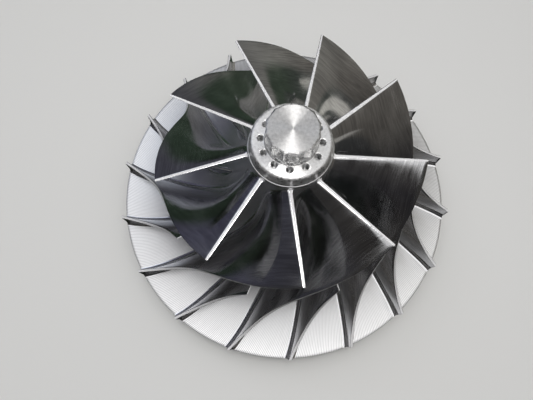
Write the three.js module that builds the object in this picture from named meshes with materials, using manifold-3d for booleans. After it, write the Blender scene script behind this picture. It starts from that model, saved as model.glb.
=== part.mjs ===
// Turbocharger compressor wheel: a milled aluminium centrifugal impeller with full and splitter blades in turn.
// It lies on its back, nose up. Millimetres, +Z along the axis towards the nose, origin in the middle of the
// shaft boss's face, which it rests on. Seen from the nose it turns anticlockwise, and its blades sweep clockwise.
import * as THREE from "three";
import { mergeVertices } from "three/addons/utils/BufferGeometryUtils.js";
import Module from "manifold-3d";

const wasm = await Module();
wasm.setup();

// Driving dimensions. Levels are heights above the rim's upper edge, angles are in degrees.
const WHEEL_RADIUS = 120;
const RIM_HEIGHT = 22;
const RIM_THICKNESS = 3.5;
const SEAT_GAP = 0.3;

const BLADE_PAIRS = 9;
const FIRST_EXIT_ANGLE = 51.1;
const EXIT_WIDTH = 11.3;
const INLET_LEVEL = 83.8;
const INLET_TIP_RADIUS = 77.6;
const INLET_HUB_RADIUS = 24.6;
const TIP_WRAP = -63.4;
const HUB_LAG = -5.3;
const HUB_ONSET = 8.45;
const THICKNESS = { root: 3, tip: 1.9 };
const INLET_EDGE = { root: 1.5, tip: 0.8, taper: 0.22 };
const SPLITTER_START = { hub: 0.3, tip: 0.45 };

const SHOULDER_LEVELS = { seat: 87.1, wall: 93.2, top: 94.8 };
const SHOULDER_RADII = { seat: 23.9, wall: 22.9, top: 21 };
const BALANCE_HOLES = { count: 12, radius: 1.7, circle: 16.9, depth: 6.2, firstAngle: -94.3 };
const HEAD = { corners: 12, radius: 14.7, flankRadius: 13.85, topRadius: 13.3, topLevel: 109.5 };
const HEAD_LEVELS = { collar: 97.9, chamfer: 108.2 };

const BOSS = { radius: 34, height: 10, boreRadius: 12, chamfer: 1.2 };
const BORE_DEPTH = 26;
const BACK_FLAT_RADIUS = 46;

const ROUND_STEPS = 72;
const PROFILE_STEPS = 24;
const BLADE_STEPS = { along: 18, up: 4, crowding: 1.7 };
const HOLE_SIDES = 16;

// Meridional curves, as radius and level: the hub's surface, and the blades' outer edge, which the casing covers.
const hubCurve = new THREE.CubicBezierCurve(
  new THREE.Vector2(INLET_HUB_RADIUS, INLET_LEVEL),
  new THREE.Vector2(INLET_HUB_RADIUS + 1.2, INLET_LEVEL - 43),
  new THREE.Vector2(WHEEL_RADIUS - 62, 2),
  new THREE.Vector2(WHEEL_RADIUS, 0),
);
const tipCurve = new THREE.CubicBezierCurve(
  new THREE.Vector2(INLET_TIP_RADIUS, INLET_LEVEL),
  new THREE.Vector2(INLET_TIP_RADIUS + 0.3, INLET_LEVEL - 41.2),
  new THREE.Vector2(WHEEL_RADIUS - 33, EXIT_WIDTH + 3.6),
  new THREE.Vector2(WHEEL_RADIUS, EXIT_WIDTH),
);

const material = (color, roughness, metalness = 0.9) =>
  new THREE.MeshStandardMaterial({ color, roughness, metalness });
const milledDisc = material(0xc9ccd0, 0.38);
const milledBlade = material(0xb9bcc0, 0.3);
const turnedNose = material(0xd9dadb, 0.25);
const turnedBoss = material(0xb9bcc0, 0.35);

// A closed surface with its shared corners merged, as a solid that can be cut.
function solid(geometry) {
  const bare = new THREE.BufferGeometry();
  bare.setAttribute("position", geometry.getAttribute("position"));
  bare.setIndex(geometry.index);
  const merged = mergeVertices(bare, 1e-4);
  const triVerts = [];
  for (let i = 0; i < merged.index.count; i += 3) {
    const corner = [0, 1, 2].map((j) => merged.index.getX(i + j));
    if (new Set(corner).size === 3) triVerts.push(...corner);
  }
  const vertProperties = merged.attributes.position.array;
  return new wasm.Manifold(new wasm.Mesh({ numProp: 3, vertProperties, triVerts: new Uint32Array(triVerts) }));
}

function geometryOf(body) {
  const { vertProperties, triVerts } = body.getMesh();
  const geometry = new THREE.BufferGeometry();
  geometry.setAttribute("position", new THREE.BufferAttribute(vertProperties, 3));
  geometry.setIndex(new THREE.BufferAttribute(triVerts, 1));
  geometry.computeVertexNormals();
  return geometry;
}

// A turned shape about +Z from [radius, level] pairs that run up its outside, starting and ending on the axis.
function turned(pairs, steps = ROUND_STEPS) {
  const profile = pairs.map(([radius, level]) => new THREE.Vector2(radius, level + RIM_HEIGHT));
  return new THREE.LatheGeometry(profile, steps).rotateX(Math.PI / 2);
}

// Angle by which a blade has swept back at a share of the way along its hub line or its tip line. A blade may sweep
// faster over the first tenth of its line, where it meets the air.
function sweep(share, total, [early, middle, late], onset = 0) {
  const bulge = share * (1 - share);
  const lean = 1 - 2 * share;
  const start = onset * share * (1 - share) ** 11;
  return total * (share + bulge * (early + middle * lean + late * lean * lean) + start);
}

function hubLine(share) {
  const point = hubCurve.getPointAt(share);
  const slope = hubCurve.getTangentAt(share);
  const angle = HUB_LAG + sweep(share, TIP_WRAP - HUB_LAG, [0.87, 0, -0.33], HUB_ONSET);
  // The root stands off the hub's surface by the seat gap.
  return onWheel(point.x - slope.y * SEAT_GAP, point.y + slope.x * SEAT_GAP, angle);
}

function tipLine(share) {
  const point = tipCurve.getPointAt(share);
  return onWheel(point.x, point.y, sweep(share, TIP_WRAP, [0.84, 0.26, 0.09]));
}

function onWheel(radius, level, degrees) {
  const angle = THREE.MathUtils.degToRad(degrees);
  return new THREE.Vector3(radius * Math.cos(angle), radius * Math.sin(angle), level + RIM_HEIGHT);
}

// A point of the blade's middle surface: straight lines join its hub line to its tip line.
function camber(along, up, start) {
  const root = hubLine(start.hub + (1 - start.hub) * along);
  const tip = tipLine(start.tip + (1 - start.tip) * along);
  return root.lerp(tip, up);
}

function bladeThickness(along, up) {
  const full = THREE.MathUtils.lerp(THICKNESS.root, THICKNESS.tip, up);
  const edge = THREE.MathUtils.lerp(INLET_EDGE.root, INLET_EDGE.tip, up);
  return THREE.MathUtils.lerp(edge, full, THREE.MathUtils.smoothstep(along, 0, INLET_EDGE.taper));
}

// The blade's two faces lie half its thickness before and behind its middle surface, round the axis.
function bladePoint(along, up, side, start) {
  const step = 0.002;
  const point = camber(along, up, start);
  const onward = camber(Math.min(along + step, 1), up, start).sub(camber(Math.max(along - step, 0), up, start));
  const upward = camber(along, Math.min(up + step, 1), start).sub(camber(along, Math.max(up - step, 0), start));
  const normal = onward.cross(upward).normalize();
  const radius = Math.hypot(point.x, point.y);
  const round = Math.abs(normal.y * point.x - normal.x * point.y) / radius;
  const turn = bladeThickness(along, up) / 2 / round / radius;
  return point.applyAxisAngle(new THREE.Vector3(0, 0, 1), -side * turn);
}

// A blade as a bent box, with its stations closer together towards the inlet, where it bends most.
function bladeGeometry(start) {
  const geometry = new THREE.BoxGeometry(1, 1, 1, BLADE_STEPS.along, BLADE_STEPS.up, 1);
  const position = geometry.attributes.position;
  for (let i = 0; i < position.count; i++) {
    const along = (position.getX(i) + 0.5) ** BLADE_STEPS.crowding;
    const up = position.getY(i) + 0.5;
    const point = bladePoint(along, up, 2 * position.getZ(i), start);
    position.setXYZ(i, point.x, point.y, point.z);
  }
  geometry.computeVertexNormals();
  return geometry;
}

// Hub and disc in one turned shape, with the top of the shaft's bore in its back.
function hubDisc() {
  const boreTop = BORE_DEPTH - RIM_HEIGHT;
  const back = BOSS.height + SEAT_GAP - RIM_HEIGHT;
  const web = new THREE.QuadraticBezierCurve(
    new THREE.Vector2(BACK_FLAT_RADIUS, back),
    new THREE.Vector2(BACK_FLAT_RADIUS + 30, -RIM_THICKNESS - 1),
    new THREE.Vector2(WHEEL_RADIUS, -RIM_THICKNESS),
  );
  const hub = hubCurve.getSpacedPoints(PROFILE_STEPS).reverse();
  return turned([
    [0, boreTop],
    [BOSS.boreRadius, boreTop],
    [BOSS.boreRadius, back],
    ...web.getPoints(4).map((p) => [p.x, p.y]),
    ...hub.map((p) => [p.x, p.y]),
    [SHOULDER_RADII.seat, SHOULDER_LEVELS.seat - SEAT_GAP],
    [0, SHOULDER_LEVELS.seat - SEAT_GAP],
  ]);
}

// Turned shoulder under the drive head, with a ring of blind tapped holes for balance screws.
function noseShoulder() {
  const { seat, wall, top } = SHOULDER_LEVELS;
  let body = solid(turned([
    [0, seat],
    [SHOULDER_RADII.seat, seat],
    [SHOULDER_RADII.wall, wall],
    [SHOULDER_RADII.wall - 0.6, top - 0.5],
    [SHOULDER_RADII.top, top],
    [0, top],
  ]));
  const drill = new THREE.CylinderGeometry(BALANCE_HOLES.radius, BALANCE_HOLES.radius, 10, HOLE_SIDES);
  drill.rotateX(Math.PI / 2);
  const level = RIM_HEIGHT + top - BALANCE_HOLES.depth + 5;
  for (let i = 0; i < BALANCE_HOLES.count; i++) {
    const place = onWheel(BALANCE_HOLES.circle, 0, BALANCE_HOLES.firstAngle + (360 / BALANCE_HOLES.count) * i);
    body = body.subtract(solid(drill.clone().translate(place.x, place.y, level)));
  }
  return geometryOf(body);
}

// Outline of the drive head: corners all round, with a shallow hollow flank between each two.
function headOutline() {
  const pitch = 360 / HEAD.corners;
  const first = BALANCE_HOLES.firstAngle + pitch / 2;
  const flat = HEAD.radius * Math.cos(THREE.MathUtils.degToRad(pitch / 2));
  const outline = new THREE.Shape();
  const corner = onWheel(HEAD.radius, 0, first);
  outline.moveTo(corner.x, corner.y);
  for (let i = 1; i <= HEAD.corners; i++) {
    const hollow = onWheel(2 * HEAD.flankRadius - flat, 0, first + pitch * (i - 0.5));
    const next = onWheel(HEAD.radius, 0, first + pitch * i);
    outline.quadraticCurveTo(hollow.x, hollow.y, next.x, next.y);
  }
  return outline;
}

// Drive head for a ring spanner: flanks that run out on a round collar, and a chamfer under the turned top face.
function driveHead() {
  const bottom = SHOULDER_LEVELS.top + SEAT_GAP;
  const depth = HEAD.topLevel - HEAD_LEVELS.collar + 1;
  const flanks = new THREE.ExtrudeGeometry(headOutline(), { depth, bevelEnabled: false, curveSegments: 4 });
  flanks.translate(0, 0, HEAD_LEVELS.collar - 1 + RIM_HEIGHT);
  const chamfered = turned([
    [0, bottom],
    [HEAD.radius, bottom],
    [HEAD.radius, HEAD_LEVELS.chamfer],
    [HEAD.topRadius, HEAD.topLevel],
    [0, HEAD.topLevel],
  ]);
  const collar = turned([
    [0, bottom],
    [HEAD.radius, bottom],
    [HEAD.radius, HEAD_LEVELS.collar],
    [0, HEAD_LEVELS.collar],
  ]);
  return geometryOf(solid(flanks).intersect(solid(chamfered)).add(solid(collar)));
}

// Shaft boss on the back, whose ring face carries the wheel. The shaft goes into its bore.
function shaftBoss() {
  const base = -RIM_HEIGHT;
  const top = base + BOSS.height;
  const outer = turned([
    [0, base],
    [BOSS.radius - BOSS.chamfer, base],
    [BOSS.radius, base + BOSS.chamfer],
    [BOSS.radius, top],
    [0, top],
  ]);
  const bore = turned([
    [0, base - 1],
    [BOSS.boreRadius + BOSS.chamfer + 1, base - 1],
    [BOSS.boreRadius, base + BOSS.chamfer],
    [BOSS.boreRadius, top + 1],
    [0, top + 1],
  ]);
  return geometryOf(solid(outer).subtract(solid(bore)));
}

const wheel = new THREE.Group();

function add(name, geometry, finish, degrees = 0) {
  const mesh = new THREE.Mesh(geometry, finish);
  mesh.name = name;
  mesh.rotation.z = THREE.MathUtils.degToRad(degrees);
  wheel.add(mesh);
}

add("hub_disc", hubDisc(), milledDisc);
add("nose_shoulder", noseShoulder(), turnedNose);
add("drive_head", driveHead(), turnedNose);
add("shaft_boss", shaftBoss(), turnedBoss);

const fullBlade = bladeGeometry({ hub: 0, tip: 0 });
const splitterBlade = bladeGeometry(SPLITTER_START);
const pitch = 360 / BLADE_PAIRS;
for (let i = 0; i < BLADE_PAIRS; i++) {
  const inlet = FIRST_EXIT_ANGLE - TIP_WRAP - pitch * i;
  add(`full_blade_${i + 1}`, fullBlade, milledBlade, inlet);
  add(`splitter_blade_${i + 1}`, splitterBlade, milledBlade, inlet - pitch / 2);
}

export default wheel;
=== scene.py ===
"""Looks of a turbocharger compressor wheel: blades, hub, turned nose, metals, studio light and camera."""
import math

import bmesh
import bpy
import numpy as np
from mathutils import Euler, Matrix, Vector


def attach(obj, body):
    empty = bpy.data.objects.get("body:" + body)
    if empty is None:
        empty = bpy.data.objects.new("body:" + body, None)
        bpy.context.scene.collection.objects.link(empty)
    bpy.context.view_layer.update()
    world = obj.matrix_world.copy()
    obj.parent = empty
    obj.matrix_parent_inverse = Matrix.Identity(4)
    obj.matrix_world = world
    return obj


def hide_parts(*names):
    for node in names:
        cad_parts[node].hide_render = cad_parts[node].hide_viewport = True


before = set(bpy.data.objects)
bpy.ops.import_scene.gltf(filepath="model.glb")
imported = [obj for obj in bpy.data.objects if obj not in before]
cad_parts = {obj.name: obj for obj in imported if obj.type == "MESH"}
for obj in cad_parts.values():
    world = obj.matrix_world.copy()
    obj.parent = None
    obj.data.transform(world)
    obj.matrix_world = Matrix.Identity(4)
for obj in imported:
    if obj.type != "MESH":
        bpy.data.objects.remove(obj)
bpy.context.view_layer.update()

MM = 0.001

# Measures of the wheel in millimetres and degrees, as in its solids. A level is a height above the rim's
# upper edge, and outlines and curves are rows of radius and level pairs.
WHEEL_RADIUS = 120.0
RIM_HEIGHT = 22.0
RIM_THICKNESS = 3.5
HUB_CURVE = ((24.6, 83.8), (25.8, 40.8), (58, 2.0), (WHEEL_RADIUS, 0))
SHROUD_CURVE = ((77.6, 83.8), (77.9, 42.6), (87, 14.9), (WHEEL_RADIUS, 11.3))
WEB_CURVE = ((46, -11.7), (76, -4.5), (WHEEL_RADIUS, -RIM_THICKNESS))

BLADE_PAIRS = 9
FIRST_EXIT_ANGLE = 51.1
TIP_WRAP = -63.4
TIP_BULGE = (0.84, 0.26, 0.09)
HUB_LAG = -5.3
HUB_BULGE = (0.87, 0.0, -0.33)
HUB_ONSET = {"amount": 8.45, "power": 11}
THICKNESS = {"root": 3.0, "tip": 1.9}
INLET_EDGE = {"root": 1.35, "tip": 0.7, "taper": 0.22}
FULL_START = {"hub": 0.0, "tip": 0.0}
SPLITTER_START = {"hub": 0.3, "tip": 0.45}

SEAT_LEVEL = 87.1
SHOULDER_TOP = 94.8
HOLES = {"count": 12, "circle": 16.9, "first": -94.3}
HEAD = {"corners": 12, "radius": 14.7, "flank": 13.85, "top": 109.5, "collar": 97.9}
HEAD_CHAMFER = {"radius": 12.8, "level": 108.75}
SPLIT_GAP = 0.3
BOSS = {"radius": 34.0, "height": 10.0, "bore": 12.0, "chamfer": 1.2}
BOSS_TOP = BOSS["height"] - RIM_HEIGHT + SPLIT_GAP
BORE_TOP = 4.0

# Finish that the solids leave out on the blades: root fillets, smaller round the front, and broken edges,
# which are trimmed less at the nose. The exit's wear is a share of the edge's rounding, at shares along the
# blade. The feet of the blades, the shoulder and the head lie a little below their seats.
SINK = 0.05
ROOT_FILLET = 2.3
FRONT_FILLET = {"share": 0.3, "taper": 0.1}
EDGE_ROUND = 0.22
NOSE_TRIM = 0.8
EXIT_WEAR = {0.9991: 0.0, 0.9997: 0.35, 1.0: 1.0}

# A blade's nose, for its anticlockwise (1) and its clockwise side (-1): where the flat on its front ends, as
# a share of half the thickness, and how far back along the blade that side is rounded off, as shares of its
# length at hub and tip.
FULL_NOSE = {1: (0.35, 0.003, 0.0015), -1: (0.6, 0.0035, 0.0006)}
SPLITTER_NOSE = {1: (-0.5, 0.011, 0.011), -1: (0.75, 0.004, 0.004)}

# Small edges of the turned pieces. Levels in a balance hole are measured from the shoulder's top.
RIM_ROUND = 0.3
RIM_EDGE = ((WHEEL_RADIUS, -0.25), (119.94, -0.08))
HUB_TOP_EDGE = ((24.53, 86.3), (24.42, 86.7), (24.15, 86.95))
HUB_TOP_RADIUS = 23.8
SHOULDER_FOOT = 23.7
SHOULDER_SIDE = ((23.9, 87.2), (23.86, 87.5), (23.4, 90.2), (22.95, 92.7))
SHOULDER_ROUND = {"centre": (20.75, 92.6), "radius": 2.2, "start": 8, "end": 90}
SHOULDER_FACE = (20.6, 19, 17, 15, 10, 0)
HOLE_POINT = ((0, -6.9), (1.6, -6.0))
THREAD = {"turns": 14, "pitch": 0.36, "inner": 1.6, "outer": 1.82, "first": -5.9}
HOLE_MOUTH = ((1.62, -0.8), (1.64, -0.45), (1.78, -0.2), (1.96, -0.06), (2.15, 0.0), (2.15, 1.0), (0, 1.0))
HEAD_EDGES = {"foot": 0.35, "bevel": 0.13, "drop": 0.15, "flare": 0.06, "rise": 0.1, "corner": 0.12}
HEAD_FACE = (12, 9, 6, 3, 1, 0)
BOSS_BEVEL = 0.1
BOSS_FILLET = 2.5

# Steps of the meshes, the shares along a blade's body, where the disc's outlines end short of its rim, and
# the angles in degrees at which shading breaks.
CURVE_STEPS = 1001
LINE_STEPS = 801
ARC_STEPS = {"rim": 4, "shoulder": 12, "collar": 4, "boss": 8}
NOSE_STEPS = 6
BODY = {"steps": 96, "first": 0.0125, "length": 0.9855, "even": 0.45}
FILLET_STEPS = 9
FACE_STEPS = 24
EDGE_TURNS = (0, 35, 62, 90)
DISC_END = 0.998
WEB_STEPS = 30
HUB_STEPS = 110
DISC_TURNS = 360
NOSE_TURNS = 240
HOLE_TURNS = 32
HEAD_TURNS = 720
FLANK_PASSES = 6
FLANK_SHARES = np.linspace(0.1, 1, 8)
CHAMFER_SHARES = (0.12, 0.3, 0.5, 0.7, 0.88, 1.0)
WELD = 1e-7
CREASE = {"turned": 35, "blade": 50, "shoulder": 25, "head": 30}

# The blades' map: millimetres to its unit, each face's shift in millimetres, and in units the shift from a
# blade to the next and what an edge adds to the height.
MAP_UNIT = 100
FACE_SHIFT = 20
BLADE_SHIFT = 3.7
EDGE_MAP = 5

# Milling lines round the disc.
LANES = 612

# The metals: plain colours, tones from dark to light, ranges of roughness, scales of the noise over the map,
# depths of the relief in metres, the heights in the map between which a blade's painted highlight along its
# foot ends, and how strongly the disc's milling lines are darkened as painted shade.
NOISE_SPREAD = 0.16
DISC_METAL = {
    "plain": (0.84, 0.85, 0.87), "dark": (0.4, 0.405, 0.41), "light": (0.99, 0.99, 1.0),
    "roughness": (0.29, 0.41), "uneven": (LANES * 0.6, 9), "grain": (LANES * 1.7, 40),
    "line_depth": 0.00003, "grain_depth": 0.000008, "line_span": (0.5, 1.5), "tone_span": (0.85, 1.0),
    "painted_line_shade": 0.9, "line_power": 2.0, "rim_power": 3.0,
}
BLADE_METAL = {
    "plain": (0.8, 0.81, 0.83), "dark": (0.46, 0.46, 0.47), "light": (0.98, 0.98, 0.99),
    "roughness": (0.09, 0.2), "paths": (7, 110), "cloud": (4, 7), "path_depth": 0.000005,
    "edge_roughness": 0.65, "pattern": 0.35, "foot": (0.014, 0.007),
}
TURNED_METALS = {
    "turned_shoulder": {
        "color": (0.97, 0.97, 0.975), "wear": 0.36, "roughness": 0.33, "anisotropic": 0.95, "depth": 0.00002,
    },
    "turned_head": {
        "color": (0.8, 0.8, 0.805), "wear": 0.42, "roughness": 0.26, "anisotropic": 0.95, "depth": 0.00004,
        "face_level": 0.1314, "face_roughness": 0.18,
    },
    "turned_back": {
        "color": (0.74, 0.75, 0.77), "wear": 0.3, "roughness": 0.36, "anisotropic": 0.5, "depth": 0.000006,
    },
}
TANGENT_TURN = 0.25
RINGS = {"scale": 1000, "detail": 2, "shallow": 0.25}
SPECKS = {"scale": 600.0, "detail": 5.0, "share": 0.7}
PATCHES = {"scale": 140.0, "detail": 3.0, "share": 0.3}
SPECK_DEPTH = 0.5
WORN_ROUGHNESS = 0.08

# Tones of the surroundings at every 45 degrees, from the -X direction by way of -Y, +X and +Y, and the rise
# of a direction over which the ground gives way to the walls.
WALL_TONES = (
    (0.045, 0.045, 0.054), (0.036, 0.034, 0.032), (0.027, 0.026, 0.028),
    (0.075, 0.07, 0.063), (0.135, 0.126, 0.112), (0.215, 0.21, 0.19),
    (0.08, 0.08, 0.088), (0.06, 0.06, 0.088), (0.045, 0.045, 0.054),
)
GROUND_TONES = (
    (0.0135, 0.0155, 0.0125), (0.012, 0.0135, 0.0115), (0.012, 0.0135, 0.0135),
    (0.034, 0.034, 0.034), (0.075, 0.079, 0.076), (0.047, 0.062, 0.045),
    (0.031, 0.046, 0.033), (0.02, 0.029, 0.021), (0.0135, 0.0155, 0.0125),
)
HORIZON = (-0.1, 0.05)

# Sockets of a Mix node that mixes colours.
MIX_FACTOR = 0
MIX_LOW = 6
MIX_HIGH = 7
MIX_RESULT = 2

# The studio in metres. Metal shows only what it mirrors, so a light that isn't mirrored lights the floor.
FLOOR = {"half": 6, "color": (0.72, 0.72, 0.71), "roughness": 0.8}
LIGHTS = (
    {
        "name": "ceiling", "place": (-0.03, 0.015, 1.2), "target": (-0.03, 0.015, 0), "size": (2.06, 1.73),
        "radiance": 0.88, "color": (1.0, 1.0, 1.0), "roll": -30,
    },
    {
        "name": "lamp", "place": (0.02, 0.07, 1.15), "target": (0.02, 0.07, 0), "size": (0.28, 0.28),
        "radiance": 13.5, "color": (1.0, 0.98, 0.95),
    },
    {
        "name": "window", "place": (-0.62, 0.62, 0.95), "target": (0, 0, 0.05), "size": (0.72, 0.72),
        "radiance": 0.5, "color": (0.82, 0.9, 1.0),
    },
    {
        "name": "card", "place": (0.265, 0.025, 0.03), "target": (0.265, 0.025, 1), "size": (0.24, 0.24),
        "radiance": 0.42, "color": (1.0, 0.96, 0.87), "seen": False,
    },
    {
        "name": "floor_fill", "place": (0, 0, 1.4), "target": (0, 0, 0), "size": (2.6, 2.6),
        "radiance": 0.5, "color": (1.0, 1.0, 1.0), "mirrored": False,
    },
)

# The photograph's camera, fitted to points read off it: place in metres, turn in degrees, and focal length
# in pixels of a picture so many pixels wide.
CAMERA_PLACE = (-0.013903, -0.089123, 0.317748)
CAMERA_TURN = (15.465, -0.098, -0.027)
FOCAL_PIXELS = 403.65
PICTURE_WIDTH = 533
SENSOR_WIDTH = 36
NEAREST = 0.01


def bezier(points, t):
    """Points of a Bezier curve at the parameters t."""
    t = np.asarray(t)[:, None]
    layer = [np.asarray(p, float) for p in points]
    while len(layer) > 1:
        layer = [a * (1 - t) + b * t for a, b in zip(layer, layer[1:])]
    return layer[0]


def read_line(line, marks, at):
    """Points of a line, whose own points lie at the marks."""
    return np.stack([np.interp(at, marks, axis) for axis in line.T], -1)


class Line:
    """A curve of radius and level that is read by the share of its length."""

    def __init__(self, points):
        self.points = bezier(points, np.linspace(0, 1, CURVE_STEPS))
        steps = np.linalg.norm(np.diff(self.points, axis=0), axis=1)
        self.shares = np.concatenate([[0], np.cumsum(steps)]) / steps.sum()

    def at(self, share):
        return read_line(self.points, self.shares, share)


HUB = Line(HUB_CURVE)
SHROUD = Line(SHROUD_CURVE)
WEB = Line(WEB_CURVE)


def sweep(share, total, bulge):
    """Angle by which a blade has swept back at a share of its line."""
    lean = 1 - 2 * share
    return total * (share + share * (1 - share) * (bulge[0] + bulge[1] * lean + bulge[2] * lean * lean))


def hub_sweep(share):
    """The hub line's sweep, which is faster over its first tenth."""
    total = TIP_WRAP - HUB_LAG
    onset = HUB_ONSET["amount"] * share * (1 - share) ** HUB_ONSET["power"]
    return HUB_LAG + sweep(share, total, HUB_BULGE) + total * onset


def on_wheel(radius, level, degrees):
    """Points at a radius, a level above the rim and an angle."""
    angle = np.radians(degrees)
    return np.stack([radius * np.cos(angle), radius * np.sin(angle), level + RIM_HEIGHT + 0 * angle], -1)


def smoothstep(x, high):
    """A smooth rise from 0 to 1, as x goes from 0 to high."""
    x = np.clip(x / high, 0, 1)
    return x * x * (3 - 2 * x)


def between(ends, share):
    """A value between a measure's root and tip."""
    return ends["root"] + (ends["tip"] - ends["root"]) * share


def arc(centre, radius, start, end, steps):
    """Points on an arc of radius and level between two angles in degrees."""
    angles = np.radians(np.linspace(start, end, steps))
    return [(centre[0] + radius * math.cos(a), centre[1] + radius * math.sin(a)) for a in angles]


def strip_faces(rows, columns):
    """Quads of a grid of points, whose columns close into a ring."""
    faces = []
    for i in range(rows - 1):
        for j in range(columns):
            k = (j + 1) % columns
            faces.append((i * columns + j, i * columns + k, (i + 1) * columns + k, (i + 1) * columns + j))
    return faces


def finish_shading(mesh, crease):
    """Smooth shading that breaks where faces meet at more than an angle."""
    mesh.shade_smooth()
    mesh.set_sharp_from_angle(angle=math.radians(crease))


def make_piece(name, points, faces, corner_uv, crease):
    """A smooth shaded mesh from points in millimetres, with its map."""
    mesh = bpy.data.meshes.new(name)
    mesh.from_pydata((np.reshape(points, (-1, 3)) * MM).tolist(), [], faces)
    mesh.uv_layers.new(name="surface").data.foreach_set("uv", np.ravel(corner_uv))
    clean = bmesh.new()
    clean.from_mesh(mesh)
    bmesh.ops.remove_doubles(clean, verts=clean.verts, dist=WELD)
    bmesh.ops.recalc_face_normals(clean, faces=clean.faces)
    clean.to_mesh(mesh)
    clean.free()
    finish_shading(mesh, crease)
    piece = bpy.data.objects.new(name, mesh)
    bpy.context.scene.collection.objects.link(piece)
    return piece


def no_map(faces):
    """An empty map, for a piece whose metal doesn't use it."""
    return np.zeros((len(faces), 4, 2))


def lathe(name, outline, steps, twist=0.0):
    """A turned mesh about Z. Its map holds turns, less a twist in degrees, and radius."""
    outline = np.asarray(outline, float)
    twist = twist + np.zeros(len(outline))
    angles = np.linspace(0, 360, steps, endpoint=False)
    points = on_wheel(outline[:, :1], outline[:, 1:], angles[None, :])
    row = np.repeat(np.arange(len(outline) - 1), steps)
    column = np.tile(np.arange(steps), len(outline) - 1)
    corner_uv = [
        np.stack([(column + dj) / steps - twist[row + di] / 360, outline[row + di, 0] / WHEEL_RADIUS], -1)
        for di, dj in ((0, 0), (0, 1), (1, 1), (1, 0))
    ]
    faces = strip_faces(len(outline), steps)
    return make_piece(name, points, faces, np.stack(corner_uv, 1), CREASE["turned"])


# Blades


def blade_stations():
    """Shares along a blade from its front, with the nose's run and turn and the exit's wear at each."""
    turn = np.linspace(0, 1, NOSE_STEPS + 1)
    body = np.linspace(0, 1, BODY["steps"])
    body = BODY["first"] + BODY["length"] * (BODY["even"] * body + (1 - BODY["even"]) * body ** 2)
    along = np.concatenate([0 * turn, body, list(EXIT_WEAR)])
    rest = np.zeros(len(along) - len(turn))
    worn = 0 * along
    worn[-len(EXIT_WEAR):] = EDGE_ROUND * np.array(list(EXIT_WEAR.values()))
    return along, np.concatenate([turn ** 2, rest]), np.concatenate([(1 - turn) ** 2, rest]), worn


def blade_rows(height):
    """Heights of a blade's rows above the hub, with the fillet's reach and the tip edge's rounding."""
    rise = np.radians(np.linspace(0, 90, FILLET_STEPS))
    fall = np.radians(EDGE_TURNS)
    face = np.linspace(0, 1, FACE_STEPS)[None, 1:-1]
    low = ROOT_FILLET * (1 - np.cos(rise))[None, :] + 0 * height
    low[:, 0] = -SINK
    high = height - EDGE_ROUND * (1 - np.sin(fall))[None, :]
    middle = low[:, -1:] + (high[:, :1] - low[:, -1:]) * face
    rows = np.concatenate([low, middle, high], 1)
    reach = np.concatenate([ROOT_FILLET * (1 - np.sin(rise)), np.zeros(face.size + len(fall))])
    trim = np.concatenate([np.zeros(len(rise) + face.size), EDGE_ROUND * (1 - np.cos(fall))])
    return rows, reach, trim


def blade_thickness(along, up):
    """Thickness at a share along the blade and a share of its height."""
    edge = between(INLET_EDGE, up)
    return edge + (between(THICKNESS, up) - edge) * smoothstep(along, INLET_EDGE["taper"])


def fillet_share(along):
    """The root fillet's size, which is smaller round a blade's nose."""
    front = FRONT_FILLET["share"]
    return front + (1 - front) * smoothstep(along, FRONT_FILLET["taper"])


def blade_lines(along, start):
    """A blade's hub line and tip line as points in space."""
    hub_share = start["hub"] + (1 - start["hub"]) * along
    tip_share = start["tip"] + (1 - start["tip"]) * along
    hub, shroud = HUB.at(hub_share), SHROUD.at(tip_share)
    root = on_wheel(hub[:, 0], hub[:, 1], hub_sweep(hub_share))
    tip = on_wheel(shroud[:, 0], shroud[:, 1], sweep(tip_share, TIP_WRAP, TIP_BULGE))
    return root, tip


def side_step(middle, onward, upward):
    """How far a radian's turn about Z moves each point of a blade across it."""
    normal = np.cross(onward, upward)
    normal /= np.linalg.norm(normal, axis=-1, keepdims=True)
    return np.abs(normal[..., 1] * middle[..., 0] - normal[..., 0] * middle[..., 1])


def spun(points, angle):
    """Points turned about Z by an angle each."""
    c, s = np.cos(angle), np.sin(angle)
    x, y, z = np.moveaxis(points, -1, 0)
    return np.stack([c * x - s * y, s * x + c * y, z], -1)


def blade_face(start, side, flat, hub_fall, tip_fall):
    """One face of a blade as a grid of points, and its map of run and height. Side 1 is anticlockwise."""
    marks = np.linspace(0, 1, LINE_STEPS)
    lines = blade_lines(marks, start)
    slopes = [np.gradient(line, marks, axis=0) for line in lines]
    along, front, nose, worn = (column[:, None] for column in blade_stations())
    height = np.interp(along, marks, np.linalg.norm(lines[1] - lines[0], axis=1))
    rows, reach, trim = blade_rows(height)
    up = rows / height
    along = along + front * (hub_fall + (tip_fall - hub_fall) * up)
    root, tip, root_slope, tip_slope = (read_line(line, marks, along) for line in (*lines, *slopes))

    onward = root_slope + (tip_slope - root_slope) * up[..., None]
    length = np.linalg.norm(onward, axis=-1)
    reach = reach * fillet_share(along)
    middle = root + (tip - root) * up[..., None] - onward * (reach * nose / length)[..., None]
    half = blade_thickness(along, up) / 2
    half = half * (1 - (1 - flat) * nose) + reach - worn - trim * (1 - NOSE_TRIM * nose)
    run = along * length.mean() - reach * nose + FACE_SHIFT * side
    face = spun(middle, side * half / side_step(middle, onward, tip - root))
    return face, np.stack([run, rows + 0 * run], -1)


def end_cap(first, count):
    """Quads that close the loop of points at one end of a blade."""
    last = first + count - 1
    return [(first + i, first + i + 1, last - 1 - i, last - i) for i in range(count // 2 - 1)]


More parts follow.
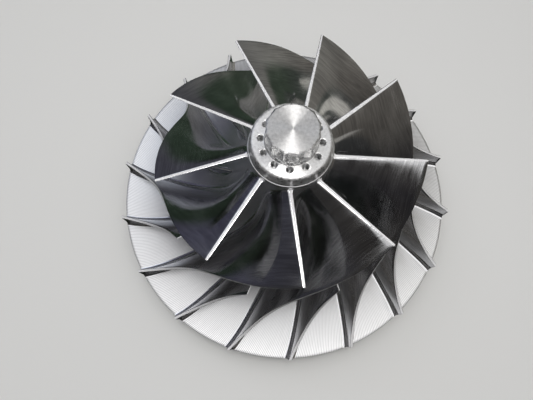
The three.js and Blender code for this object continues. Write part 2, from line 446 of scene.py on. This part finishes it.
def blade_grid(start, nose):
    """A closed blade: a loop of points round it at every station, its faces, and their map."""
    (left, left_map), (right, right_map) = (blade_face(start, side, *nose[side]) for side in (1, -1))
    loop = np.concatenate([left, right[:, ::-1]], 1)
    stations, count = loop.shape[:2]
    walls = (stations - 1) * count
    faces = strip_faces(stations, count) + end_cap(0, count) + end_cap(walls, count)
    point_map = np.concatenate([left_map, right_map[:, ::-1]], 1).reshape(-1, 2)
    uv = point_map[np.array(faces)] / MAP_UNIT
    for edge in (slice(count // 2 - 1, walls, count), slice(walls, None)):
        uv[edge, :, 1] += EDGE_MAP
    return loop, faces, uv


def make_blades(kind, start, nose, first_angle):
    """Like blades round the wheel, each in the place of its solid."""
    loop, faces, corner_uv = blade_grid(start, nose)
    blades = []
    for i in range(BLADE_PAIRS):
        points = spun(loop, math.radians(first_angle - 360 / BLADE_PAIRS * i))
        corner_map = corner_uv + (BLADE_SHIFT * i, 0)
        blade = make_piece(f"{kind}_milled_{i + 1}", points, faces, corner_map, CREASE["blade"])
        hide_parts(f"{kind}_{i + 1}")
        blades.append(blade)
    return blades


# Hub, nose and back


def make_hub():
    """Hub and disc, whose map follows the blades' sweep, so that its lines run along the passages."""
    back = [(0, BORE_TOP), (BOSS["bore"], BORE_TOP), (BOSS["bore"], BOSS_TOP)]
    back += [tuple(p) for p in WEB.at(np.linspace(0, DISC_END, WEB_STEPS))]
    back += arc((WHEEL_RADIUS - RIM_ROUND, RIM_ROUND - RIM_THICKNESS), RIM_ROUND, -90, 0, ARC_STEPS["rim"])
    back += RIM_EDGE
    shares = np.linspace(DISC_END, 0, HUB_STEPS)
    floor = [tuple(p) for p in HUB.at(shares)]
    top = [*HUB_TOP_EDGE, (HUB_TOP_RADIUS, SEAT_LEVEL - SINK), (0, SEAT_LEVEL - SINK)]
    twist = [np.full(len(back), TIP_WRAP), hub_sweep(shares), np.full(len(top), HUB_LAG)]
    return lathe("hub_milled", back + floor + top, DISC_TURNS, np.concatenate(twist))


def hole_outline():
    """A tapped hole's outline from the drill's point, by way of the thread, to its countersunk mouth."""
    outline = list(HOLE_POINT)
    for turn in range(THREAD["turns"]):
        level = THREAD["first"] + THREAD["pitch"] * turn
        outline += [(THREAD["inner"], level), (THREAD["outer"], level + THREAD["pitch"] / 2)]
    return np.array(outline + list(HOLE_MOUTH))


def make_hole_cutter():
    """The balance holes as one mesh of turned plugs."""
    outline = hole_outline()
    angles = np.linspace(0, 360, HOLE_TURNS, endpoint=False)
    plug = on_wheel(outline[:, :1], outline[:, 1:] + SHOULDER_TOP, angles[None, :]).reshape(-1, 3)
    rings = strip_faces(len(outline), HOLE_TURNS)
    points, faces = [], []
    for i in range(HOLES["count"]):
        place = on_wheel(HOLES["circle"], -RIM_HEIGHT, np.array(HOLES["first"] + 360 / HOLES["count"] * i))
        faces += [tuple(v + i * len(plug) for v in face) for face in rings]
        points.append(plug + place)
    return make_piece("hole_cutter", np.concatenate(points), faces, no_map(faces), CREASE["turned"])


def cut(piece, cutter, crease):
    """Takes the cutter's volume out of a piece, and the cutter out of the scene."""
    modifier = piece.modifiers.new("cut", "BOOLEAN")
    modifier.object = cutter
    modifier.operation = "DIFFERENCE"
    modifier.solver = "EXACT"
    bpy.context.view_layer.update()
    evaluated = piece.evaluated_get(bpy.context.evaluated_depsgraph_get())
    mesh = bpy.data.meshes.new_from_object(evaluated)
    piece.modifiers.clear()
    piece.data = mesh
    finish_shading(mesh, crease)
    bpy.data.objects.remove(cutter)


def make_shoulder():
    """Nose shoulder: a tapered side, a rounded edge and a flat top with the ring of balance holes."""
    foot = SEAT_LEVEL - SINK
    outline = [(0, foot), (SHOULDER_FOOT, foot), *SHOULDER_SIDE]
    outline += arc(**SHOULDER_ROUND, steps=ARC_STEPS["shoulder"])[:-1]
    outline += [(radius, SHOULDER_TOP) for radius in SHOULDER_FACE]
    shoulder = lathe("nose_shoulder_turned", outline, NOSE_TURNS)
    cut(shoulder, make_hole_cutter(), CREASE["shoulder"])
    return shoulder


def flank_radius(degrees):
    """Radius of the drive head all round: corners, with a shallow hollow flank between each two."""
    pitch = 360 / HEAD["corners"]
    half = math.radians(pitch / 2)
    reach = HEAD["radius"] * math.sin(half)
    rise = HEAD["radius"] * math.cos(half) - HEAD["flank"]
    turn = np.radians((degrees - HOLES["first"] + pitch / 2) % pitch - pitch / 2)
    radius = np.full_like(turn, HEAD["flank"])
    for _ in range(FLANK_PASSES):
        radius = (HEAD["flank"] + rise * (radius * np.sin(turn) / reach) ** 2) / np.cos(turn)
    return np.minimum(radius, HEAD["radius"] - HEAD_EDGES["corner"])


def collar_outline():
    """The drive head's round collar, from its foot's fillet to its upper edge."""
    radius, top, foot = HEAD["radius"], HEAD["collar"], HEAD_EDGES["foot"]
    outline = [(0, SHOULDER_TOP - SINK), (radius + foot, SHOULDER_TOP - SINK)]
    outline += arc((radius + foot, SHOULDER_TOP + foot), foot, 270, 180, ARC_STEPS["collar"])
    return outline + [(radius, top - HEAD_EDGES["drop"]), (radius - HEAD_EDGES["bevel"], top)]


def chamfer_level(radius):
    """Level of the drive head's chamfer at a radius."""
    slope = (HEAD["top"] - HEAD_CHAMFER["level"]) / (HEAD["radius"] - HEAD_CHAMFER["radius"])
    return HEAD["top"] - (radius - HEAD_CHAMFER["radius"]) * slope


def flank_outline(flank):
    """The hollow flanks from the collar to the chamfer, as radii and levels all round."""
    foot = HEAD["collar"] + HEAD_EDGES["rise"]
    widest = np.minimum(flank + HEAD_EDGES["flare"], HEAD["radius"] - HEAD_EDGES["bevel"])
    arch = chamfer_level(flank)
    rise = [(flank, foot * (1 - share) + arch * share) for share in FLANK_SHARES]
    return [(widest, HEAD["collar"]), (flank, foot), *rise]


def top_outline(flank):
    """The rounded chamfer from the flanks to the head's flat top, as radii and levels all round."""
    inner, arch = HEAD_CHAMFER["radius"], chamfer_level(flank)
    outline = []
    for share in CHAMFER_SHARES:
        rise = math.sin(share * math.pi / 2)
        outline.append((flank * (1 - share) + inner * share, arch * (1 - rise) + HEAD["top"] * rise))
    return outline + [(radius, HEAD["top"]) for radius in HEAD_FACE]


def make_head():
    """Drive head: a round collar, hollow flanks that run up into the chamfer, and a turned top."""
    angles = np.arange(HEAD_TURNS) * 360 / HEAD_TURNS
    flank = flank_radius(angles)
    rings = collar_outline() + flank_outline(flank) + top_outline(flank)
    points = np.stack([on_wheel(radius, level, angles) for radius, level in rings])
    faces = strip_faces(len(rings), HEAD_TURNS)
    return make_piece("drive_head_turned", points, faces, no_map(faces), CREASE["head"])


def make_boss():
    """Shaft boss on the back, with the bore's mouth and a fillet up to the disc."""
    base, radius, bore, chamfer = -RIM_HEIGHT, BOSS["radius"], BOSS["bore"], BOSS["chamfer"]
    outline = [(bore + chamfer, base), (radius - chamfer, base)]
    outline += [(radius - BOSS_BEVEL, base + chamfer - BOSS_BEVEL), (radius, base + chamfer)]
    outline += arc((radius + BOSS_FILLET, BOSS_TOP - BOSS_FILLET), BOSS_FILLET, 180, 90, ARC_STEPS["boss"])
    outline += [(bore, BOSS_TOP), (bore, base + chamfer), (bore + chamfer, base)]
    return lathe("shaft_boss_turned", outline, NOSE_TURNS)


# Materials


def node(tree, kind, inputs=(), **settings):
    """Adds a shader node and returns its first output. Each input is a key with a value or an output."""
    made = tree.nodes.new("ShaderNode" + kind)
    for key, value in settings.items():
        setattr(made, key, value)
    for key, value in inputs:
        if isinstance(value, bpy.types.NodeSocket):
            tree.links.new(value, made.inputs[key])
        else:
            made.inputs[key].default_value = value
    return made.outputs[0]


def math_node(tree, operation, *values):
    return node(tree, "Math", list(enumerate(values)), operation=operation)


def times(tree, first, second):
    return math_node(tree, "MULTIPLY", first, second)


def plus(tree, first, second):
    return math_node(tree, "ADD", first, second)


def span(tree, value, low, high):
    """Maps a value from 0..1 to low..high."""
    return node(tree, "MapRange", [("Value", value), ("To Min", low), ("To Max", high)])


def ramp_up(tree, value, low, high):
    """Maps a value from low..high to 0..1."""
    return node(tree, "MapRange", [("Value", value), ("From Min", low), ("From Max", high)])


def sharpened(tree, value):
    """Spreads a noise's middle values over 0..1."""
    return ramp_up(tree, value, 0.5 - NOISE_SPREAD, 0.5 + NOISE_SPREAD)


def parts(tree, vector):
    """The three values of a vector."""
    return node(tree, "SeparateXYZ", [(0, vector)]).node.outputs[:3]


def color_ramp(tree, value, tones):
    """Colours evenly spread over a value from 0 to 1."""
    ramp = tree.nodes.new("ShaderNodeValToRGB")
    tree.links.new(value, ramp.inputs[0])
    elements = ramp.color_ramp.elements
    for i, tone in enumerate(tones):
        element = elements[i] if i < 2 else elements.new(1.0)
        element.color = (*tone, 1)
    for i, element in enumerate(elements):
        element.position = i / (len(tones) - 1)
    return ramp.outputs[0]


def stretched_noise(tree, x, y, scale_x, scale_y, detail=3):
    """Noise over two values, each with its own scale."""
    spot = node(tree, "CombineXYZ", [(0, times(tree, x, scale_x)), (1, times(tree, y, scale_y))])
    inputs = [("Vector", spot), ("Scale", 1.0), ("Detail", detail)]
    return node(tree, "TexNoise", inputs, noise_dimensions="2D")


def metal(name, color, anisotropic=0.0):
    """A metal material, its node tree and its shader."""
    material = bpy.data.materials.new(name)
    material.use_nodes = True
    tree = material.node_tree
    shader = tree.nodes["Principled BSDF"]
    shader.inputs["Base Color"].default_value = (*color, 1)
    shader.inputs["Metallic"].default_value = 1.0
    shader.inputs["Anisotropic"].default_value = anisotropic
    shader.inputs["Anisotropic Rotation"].default_value = TANGENT_TURN
    return material, tree, shader


def tint(tree, shader, value, dark, light):
    """Colours a metal between two tones by a value from 0 to 1."""
    tree.links.new(color_ramp(tree, value, (dark, light)), shader.inputs["Base Color"])


def bump(tree, shader, height, distance, after=None):
    """Bumps a shader by a height of 0..1 that is distance metres deep."""
    inputs = [("Height", height), ("Distance", distance), ("Strength", 1.0)]
    if after is not None:
        inputs.append(("Normal", after))
    made = node(tree, "Bump", inputs)
    tree.links.new(made, shader.inputs["Normal"])
    return made


def surface_map(tree):
    """The two values of a piece's map."""
    return parts(tree, node(tree, "UVMap", uv_map="surface"))[:2]


def milled_disc():
    """Satin aluminium with the ball cutter's shallow troughs along each passage, deepest at the rim, and
    painted shade that darkens the colour along each milling line.
    """
    look = DISC_METAL
    material, tree, shader = metal("milled_disc", look["plain"])
    turns, radius = surface_map(tree)
    lane = times(tree, turns, LANES)
    across = times(tree, math_node(tree, "PINGPONG", lane, 0.5), 2.0)
    line = math_node(tree, "POWER", across, look["line_power"])
    ridge = times(tree, line, math_node(tree, "POWER", radius, look["rim_power"]))
    uneven = stretched_noise(tree, turns, radius, *look["uneven"])
    relief = times(tree, ridge, span(tree, uneven, *look["line_span"]))
    lines = bump(tree, shader, relief, look["line_depth"])
    grain = stretched_noise(tree, turns, radius, *look["grain"])
    bump(tree, shader, grain, look["grain_depth"], lines)
    tree.links.new(span(tree, uneven, *look["roughness"]), shader.inputs["Roughness"])
    # Painted shade: the colour is darkened along each milling line, most at the rim, in place of the lines'
    # shading.
    painted_shade = times(tree, ridge, look["painted_line_shade"])
    tone_with_painted_light = math_node(tree, "SUBTRACT", span(tree, uneven, *look["tone_span"]), painted_shade)
    tint(tree, shader, tone_with_painted_light, look["dark"], look["light"])
    return material


def milled_blade():
    """Half gloss aluminium with faint cutter paths along the blade, a painted highlight along its foot, and
    satin edges that also carry a painted highlight.
    """
    look = BLADE_METAL
    material, tree, shader = metal("milled_blade", look["plain"])
    run, height = surface_map(tree)
    paths = sharpened(tree, stretched_noise(tree, run, height, *look["paths"]))
    bump(tree, shader, paths, look["path_depth"])
    cloud = sharpened(tree, stretched_noise(tree, run, height, *look["cloud"]))
    # Painted highlight: the foot of each blade, below about 0.7 to 1.4 mm of height, is tinted light along
    # the root fillet.
    foot = ramp_up(tree, height, *look["foot"])
    # The tip and exit edges are rougher, a satin finish, and are also tinted light as a painted highlight.
    edge = math_node(tree, "GREATER_THAN", height, EDGE_MAP / 2)
    rough = plus(tree, span(tree, cloud, *look["roughness"]), times(tree, edge, look["edge_roughness"]))
    tree.links.new(rough, shader.inputs["Roughness"])
    pattern = times(tree, plus(tree, cloud, paths), look["pattern"])
    # The random pattern plus the painted highlights of the foot and the edges sets the colour.
    tone_with_painted_light = plus(tree, pattern, math_node(tree, "MAXIMUM", foot, edge))
    tint(tree, shader, tone_with_painted_light, look["dark"], look["light"])
    return material


def spots(tree, place, kind):
    """Noise in space, with its kind's scale and detail."""
    inputs = [("Vector", place), ("Scale", kind["scale"]), ("Detail", kind["detail"])]
    return sharpened(tree, node(tree, "TexNoise", inputs))


def worn_pattern(tree, place):
    """Specks and patches of wear, from 0 to 1."""
    patches = times(tree, spots(tree, place, PATCHES), PATCHES["share"])
    return math_node(tree, "MULTIPLY_ADD", spots(tree, place, SPECKS), SPECKS["share"], patches)


def turned_rings(tree, x, y, z):
    """Noise that is the same all round the wheel's axis."""
    flat = node(tree, "CombineXYZ", [(0, x), (1, y)])
    radius = node(tree, "VectorMath", [(0, flat)], operation="LENGTH").node.outputs["Value"]
    return stretched_noise(tree, radius, z, RINGS["scale"], RINGS["scale"], RINGS["detail"])


def turned_metal(name, color, wear, roughness, anisotropic, depth, face_level=0.0, face_roughness=0.0):
    """Turned aluminium, darker where worn. Its rings are deep only above the level of its face."""
    material, tree, shader = metal(name, color, anisotropic)
    place = node(tree, "NewGeometry")
    x, y, z = parts(tree, place)
    on_face = math_node(tree, "GREATER_THAN", z, face_level)
    rings = times(tree, turned_rings(tree, x, y, z), span(tree, on_face, RINGS["shallow"], 1.0))
    lines = bump(tree, shader, rings, depth)
    worn = worn_pattern(tree, place)
    bump(tree, shader, times(tree, worn, on_face), SPECK_DEPTH * depth, lines)
    rough = span(tree, worn, roughness - WORN_ROUGHNESS, roughness + WORN_ROUGHNESS)
    rough = plus(tree, rough, times(tree, on_face, face_roughness))
    tree.links.new(rough, shader.inputs["Roughness"])
    tint(tree, shader, worn, [(1 - wear) * c for c in color], color)
    tangent = node(tree, "Tangent", direction_type="RADIAL", axis="Z")
    tree.links.new(tangent, shader.inputs["Tangent"])
    return material


def dress(piece, material):
    """Gives a piece its material and its body."""
    piece.data.materials.clear()
    piece.data.materials.append(material)
    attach(piece, "root")


def make_wheel():
    """Every piece of the wheel, with its metal."""
    inlet = FIRST_EXIT_ANGLE - TIP_WRAP
    blades = make_blades("full_blade", FULL_START, FULL_NOSE, inlet)
    blades += make_blades("splitter_blade", SPLITTER_START, SPLITTER_NOSE, inlet - 180 / BLADE_PAIRS)
    blade_metal = milled_blade()
    for blade in blades:
        dress(blade, blade_metal)
    turned = {name: turned_metal(name, **look) for name, look in TURNED_METALS.items()}
    turned_pieces = (
        (make_hub(), "hub_disc", milled_disc(), "milled_disc"),
        (make_shoulder(), "nose_shoulder", turned["turned_shoulder"], "turned_nose"),
        (make_head(), "drive_head", turned["turned_head"], "turned_nose"),
        (make_boss(), "shaft_boss", turned["turned_back"], "turned_back"),
    )
    for piece, solid, material, slot in turned_pieces:
        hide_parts(solid)
        dress(piece, material)


# Studio


def make_floor():
    """A plain pale floor, which the metal doesn't mirror."""
    half = FLOOR["half"]
    mesh = bpy.data.meshes.new("floor")
    corners = [(-half, -half, 0), (half, -half, 0), (half, half, 0), (-half, half, 0)]
    mesh.from_pydata(corners, [], [(0, 1, 2, 3)])
    floor = bpy.data.objects.new("floor", mesh)
    bpy.context.scene.collection.objects.link(floor)
    material = bpy.data.materials.new("floor")
    material.use_nodes = True
    shader = material.node_tree.nodes["Principled BSDF"]
    shader.inputs["Base Color"].default_value = (*FLOOR["color"], 1)
    shader.inputs["Roughness"].default_value = FLOOR["roughness"]
    mesh.materials.append(material)
    floor.visible_glossy = False


def add_light(name, place, target, size, radiance, color, roll=0, mirrored=True, seen=True):
    """A soft oval light of an even radiance, which faces a target and is rolled about its own axis."""
    light = bpy.data.lights.new(name, "AREA")
    light.shape = "ELLIPSE"
    light.size, light.size_y = size
    area = math.pi / 4 * size[0] * size[1]
    light.energy = math.pi * radiance * area
    light.color = color
    lamp = bpy.data.objects.new(name, light)
    lamp.location = place
    lamp.rotation_euler = (Vector(target) - Vector(place)).to_track_quat("-Z", "Y").to_euler()
    lamp.rotation_euler.rotate_axis("Z", math.radians(roll))
    lamp.visible_glossy = mirrored
    lamp.visible_camera = seen
    bpy.context.scene.collection.objects.link(lamp)


def make_world():
    """Dim surroundings: grey walls, lighter and warmer on the right, and a dark, faintly green ground."""
    world = bpy.data.worlds.new("studio")
    world.use_nodes = True
    tree = world.node_tree
    direction = node(tree, "TexCoord").node.outputs["Generated"]
    x, y, z = parts(tree, direction)
    turn = ramp_up(tree, math_node(tree, "ARCTAN2", y, x), -math.pi, math.pi)
    walls = color_ramp(tree, turn, WALL_TONES)
    ground = color_ramp(tree, turn, GROUND_TONES)
    mixed = tree.nodes.new("ShaderNodeMix")
    mixed.data_type = "RGBA"
    for socket, value in ((MIX_FACTOR, ramp_up(tree, z, *HORIZON)), (MIX_LOW, ground), (MIX_HIGH, walls)):
        tree.links.new(value, mixed.inputs[socket])
    tree.links.new(mixed.outputs[MIX_RESULT], tree.nodes["Background"].inputs["Color"])
    bpy.context.scene.world = world


def make_studio():
    """Floor, surroundings and lights."""
    make_floor()
    make_world()
    for light in LIGHTS:
        add_light(**light)
    bpy.context.scene.view_settings.view_transform = "Standard"


def make_camera():
    """The photograph's camera."""
    data = bpy.data.cameras.new("camera")
    data.sensor_fit = "HORIZONTAL"
    data.sensor_width = SENSOR_WIDTH
    data.lens = FOCAL_PIXELS / PICTURE_WIDTH * SENSOR_WIDTH
    data.clip_start = NEAREST
    camera = bpy.data.objects.new("camera", data)
    camera.location = CAMERA_PLACE
    camera.rotation_euler = Euler([math.radians(angle) for angle in CAMERA_TURN])
    bpy.context.scene.collection.objects.link(camera)
    bpy.context.scene.camera = camera


make_wheel()
make_studio()
make_camera()
